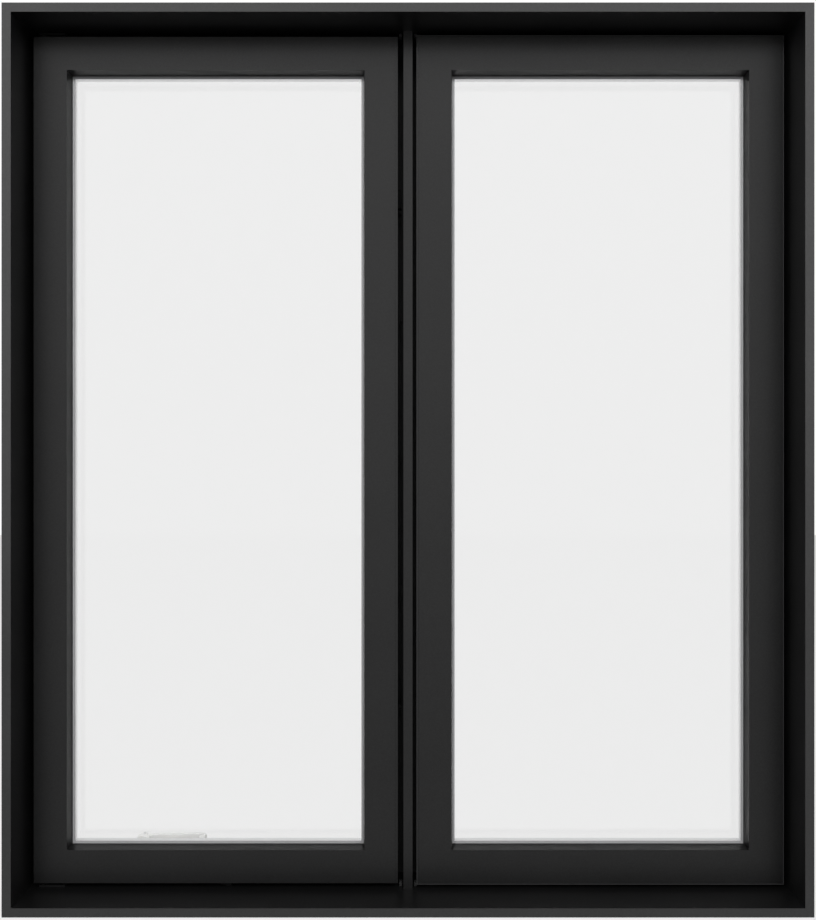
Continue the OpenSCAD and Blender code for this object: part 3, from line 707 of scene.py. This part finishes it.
def worm_mesh(shaft_radius, worm_radius, start, worm_end, shaft_end, pitch):
    """A worm with one helical thread on its shaft, along +Z."""
    count = 28
    steps_in_turn = 12
    step = pitch / steps_in_turn
    root = 0.78 * worm_radius
    crest = 2.2
    flank = 6.0
    levels = [start]
    while levels[-1] + step < worm_end:
        levels.append(levels[-1] + step)
    levels.append(worm_end)
    work = bmesh.new()
    loops = []
    for z in levels:
        radii = []
        for number in range(count):
            phase = ((z - start) / pitch - number / count) % 1.0
            rise = min(1.0, max(0.0, crest - abs(phase - 0.5) * flank))
            radii.append(root + (worm_radius - root) * rise)
        loops.append(ring(work, radii, z))
    for z in (worm_end, shaft_end):
        loops.append(ring(work, [shaft_radius] * count, z))
    skin(work, loops)
    work.faces.new(list(reversed(loops[0])))
    work.faces.new(loops[-1])
    return finished_mesh(work, "worm")


class WINDOW_OT_cut_worm(bpy.types.Operator):
    """Cuts the thread of the worm inside the cover"""

    bl_idname = "window.cut_worm"
    bl_label = "Cut Worm"

    def execute(self, context):
        joint = next(j for j in frame["joints"] if j["name"] == "crank_turn")
        axis = Vector(joint["axis"]).normalized()
        origin = Vector(joint["pos_m"])
        points = []
        for vertex in frame["nodes"]["worm_shaft"].data.vertices:
            away = vertex.co - origin
            along = away.dot(axis)
            points.append((along, (away - axis * along).length))
        start = min(along for along, radius in points)
        shaft_end = max(along for along, radius in points)
        worm_radius = max(radius for along, radius in points)
        near_crest = 0.98 * worm_radius
        past_worm = 0.01 * MM
        worm_end = max(along for along, radius in points if radius > near_crest)
        shaft_radius = max(radius for along, radius in points if along > worm_end + past_worm)
        pitch = context.scene.window_hardware.worm_pitch
        mesh = worm_mesh(shaft_radius, worm_radius, start, worm_end, shaft_end, pitch)
        turn = Vector((0, 0, 1)).rotation_difference(axis).to_matrix().to_4x4()
        mesh.transform(Matrix.Translation(origin) @ turn)
        worm = new_piece("worm", mesh, "plated_steel", "crank")
        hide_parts("worm_shaft")
        return {"FINISHED"}


def box_mesh(name, low, high):
    """A plain box between two corners."""
    work = bmesh.new()
    bmesh.ops.create_cube(work, size=1.0)
    for vertex in work.verts:
        corner = vertex.co.copy()
        vertex.co = [low[i] if corner[i] < 0 else high[i] for i in range(3)]
    return finished_mesh(work, name)


class WINDOW_OT_stick_pads(bpy.types.Operator):
    """Sticks foam pads into the corners of the gap beside the mullion"""

    bl_idname = "window.stick_pads"
    bl_label = "Stick Corner Pads"

    def execute(self, context):
        size = context.scene.window_hardware.pad_size
        low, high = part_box("outer_mullion")
        near = high[0] + PAD_CLEARANCE
        front = low[1] + PAD_SETBACK
        heights = (
            ("upper", high[2] - UPPER_PAD_HEIGHT, high[2]),
            ("lower", low[2], low[2] + LOWER_PAD_HEIGHT),
        )
        number = 0
        for side in (-1, 1):
            left, right = sorted((side * near, side * (near + size)))
            for level, bottom, top in heights:
                mesh = box_mesh(f"{level}_pad", (left, front, bottom), (right, front + PAD_DEPTH, top))
                pad = new_piece(f"{level}_pad_{number}", mesh, "grey_foam", "frame")
                soften = pad.modifiers.new("Soft edges", "BEVEL")
                soften.width = PAD_EDGE
                soften.segments = MOULDED_SEGMENTS
                number += 1
        return {"FINISHED"}


# Stage

def aim(thing, target):
    """Turns a lamp or camera towards a point."""
    away = Vector(target) - thing.location
    thing.rotation_euler = away.to_track_quat("-Z", "Y").to_euler()


def add_lamp(name, place, target, size, power):
    """A soft rectangular lamp that shows in no gloss and no glass."""
    lamp = bpy.data.lights.new(name, "AREA")
    lamp.shape = "RECTANGLE"
    lamp.size = size[0]
    lamp.size_y = size[1]
    lamp.energy = power
    holder = bpy.data.objects.new(name, lamp)
    holder.location = place
    holder.visible_glossy = False
    holder.visible_transmission = False
    aim(holder, target)
    bpy.context.scene.collection.objects.link(holder)
    return lamp


def white_light(tree, strength=1.0):
    """White light from all round."""
    node = tree.nodes.new("ShaderNodeBackground")
    node.inputs["Color"].default_value = WHITE
    node.inputs["Strength"].default_value = strength
    return node


def pale_world(ambient):
    """White where it is seen, brighter above and at the sides in gloss, and dim and even elsewhere."""
    world = bpy.data.worlds.new("Studio")
    world.use_nodes = True
    tree = world.node_tree
    tree.nodes.clear()
    split = tree.nodes.new("ShaderNodeSeparateXYZ")
    direction = tree.nodes.new("ShaderNodeTexCoord").outputs["Generated"]
    tree.links.new(direction, split.inputs["Vector"])
    rising = spread(tree, split.outputs["Z"], *RISE)
    overhead = spread(tree, split.outputs["Z"], *OVERHEAD)
    sides = spread(tree, combine(tree, "ABSOLUTE", split.outputs["X"]), *SIDES)
    front = combine(tree, "MULTIPLY", rising, overhead)
    gloss = white_light(tree)
    tree.links.new(combine(tree, "ADD", front, sides), gloss.inputs["Strength"])
    lit = white_light(tree, ambient).outputs["Background"]
    shown = white_light(tree).outputs["Background"]
    path = tree.nodes.new("ShaderNodeLightPath").outputs
    mirrored = choose_shader(tree, path["Is Glossy Ray"], lit, gloss.outputs["Background"])
    seen = combine(tree, "MAXIMUM", path["Is Camera Ray"], path["Is Transmission Ray"])
    out = tree.nodes.new("ShaderNodeOutputWorld")
    tree.links.new(choose_shader(tree, seen, mirrored, shown), out.inputs["Surface"])
    return world


def floor_finish(name, colour):
    """Pale floor that keeps the shadow, shows white through glass and dimmer in gloss."""
    tree, surface = new_finish(name)
    dark, light = (scaled(colour, factor) for factor in FLOOR_TONES)
    tone = mix_colours(tree, noise(tree, object_place(tree), scale=3.0, detail=3.0), dark, light)
    tree.links.new(tone, surface.inputs["Base Color"])
    surface.inputs["Roughness"].default_value = 0.9
    surface.inputs["Specular IOR Level"].default_value = 0.0
    path = tree.nodes.new("ShaderNodeLightPath").outputs
    white = tree.nodes.new("ShaderNodeEmission")
    white.inputs["Color"].default_value = WHITE
    gloss = combine(tree, "SUBTRACT", path["Is Glossy Ray"], path["Is Transmission Ray"])
    tree.links.new(spread(tree, gloss, FULL, (1.0, FLOOR_IN_GLOSS)), white.inputs["Strength"])
    shaded = combine(tree, "MULTIPLY", path["Is Camera Ray"], FLOOR_WHITENING)
    plain = combine(tree, "MAXIMUM", path["Is Glossy Ray"], path["Is Transmission Ray"])
    seen = combine(tree, "MAXIMUM", shaded, plain)
    shader = choose_shader(tree, seen, surface.outputs["BSDF"], white.outputs["Emission"])
    tree.links.new(shader, tree.nodes["Material Output"].inputs["Surface"])


def lay_floor(scene, level):
    """A wide floor just under the window."""
    low = (-FLOOR_REACH, -FLOOR_REACH, level - FLOOR_DEPTH)
    high = (FLOOR_REACH, FLOOR_REACH, level - FLOOR_GAP)
    mesh = box_mesh("floor", low, high)
    floor_finish("pale_floor", tuple(scene.window_stage.floor_colour))
    mesh.materials.append(finish_named("pale_floor"))
    floor = bpy.data.objects.new("floor", mesh)
    scene.collection.objects.link(floor)


def set_camera(scene, middle):
    """A camera straight in front of the window's middle."""
    lens = bpy.data.cameras.new("camera")
    lens.sensor_width = SENSOR_WIDTH
    lens.lens = scene.window_stage.camera_lens
    camera = bpy.data.objects.new("camera", lens)
    camera.location = middle - Vector((0.0, scene.window_stage.camera_distance, 0.0))
    aim(camera, middle)
    scene.collection.objects.link(camera)
    scene.camera = camera


class WINDOW_OT_set_stage(bpy.types.Operator):
    """Sets floor, light and camera"""

    bl_idname = "window.set_stage"
    bl_label = "Set Stage"

    def execute(self, context):
        scene = context.scene
        stage = scene.window_stage
        low, high = CAD_BOX
        middle = Vector((0.0, 0.0, (low[2] + high[2]) / 2))
        lay_floor(scene, low[2])
        key = add_lamp("key_lamp", middle + Vector(KEY_PLACE), middle, KEY_SIZE, stage.key_power)
        key.spread = KEY_SPREAD
        add_lamp("room_lamp", ROOM_PLACE, middle, ROOM_SIZE, stage.room_power)
        scene.world = pale_world(stage.ambient)
        set_camera(scene, middle)
        scene.view_settings.view_transform = "Standard"
        return {"FINISHED"}


# Add-on

OPERATORS = (
    WINDOW_OT_coat_frame,
    WINDOW_OT_coat_sashes,
    WINDOW_OT_paint_room_side,
    WINDOW_OT_glaze,
    WINDOW_OT_finish_hardware,
    WINDOW_OT_drive_screws,
    WINDOW_OT_cut_worm,
    WINDOW_OT_stick_pads,
    WINDOW_OT_set_stage,
)


class WINDOW_PT_looks(bpy.types.Panel):
    """Lists the steps that dress the window"""

    bl_idname = "WINDOW_PT_looks"
    bl_label = "Window"
    bl_space_type = "VIEW_3D"
    bl_region_type = "UI"
    bl_category = "Window"

    def draw(self, context):
        for operator in OPERATORS:
            self.layout.operator(operator.bl_idname)
        for name, group in SETTINGS.items():
            column = self.layout.column()
            for label in group.__annotations__:
                column.prop(getattr(context.scene, name), label)


def register():
    """Adds the settings, steps and panel."""
    for group in SETTINGS.values():
        bpy.utils.register_class(group)
    for name, group in SETTINGS.items():
        setattr(bpy.types.Scene, name, bpy.props.PointerProperty(type=group))
    for operator in OPERATORS:
        bpy.utils.register_class(operator)
    bpy.utils.register_class(WINDOW_PT_looks)


def unregister():
    """Takes the settings, steps and panel away again."""
    bpy.utils.unregister_class(WINDOW_PT_looks)
    for operator in reversed(OPERATORS):
        bpy.utils.unregister_class(operator)
    for name, group in SETTINGS.items():
        delattr(bpy.types.Scene, name)
        bpy.utils.unregister_class(group)


def main():
    """Dresses the window in order."""
    register()
    make_finishes(bpy.context.scene)
    bpy.ops.window.coat_frame()
    bpy.ops.window.coat_sashes()
    bpy.ops.window.paint_room_side()
    bpy.ops.window.glaze()
    bpy.ops.window.finish_hardware()
    bpy.ops.window.drive_screws()
    bpy.ops.window.cut_worm()
    bpy.ops.window.stick_pads()
    bpy.ops.window.set_stage()


if __name__ == "__main__":
    main()
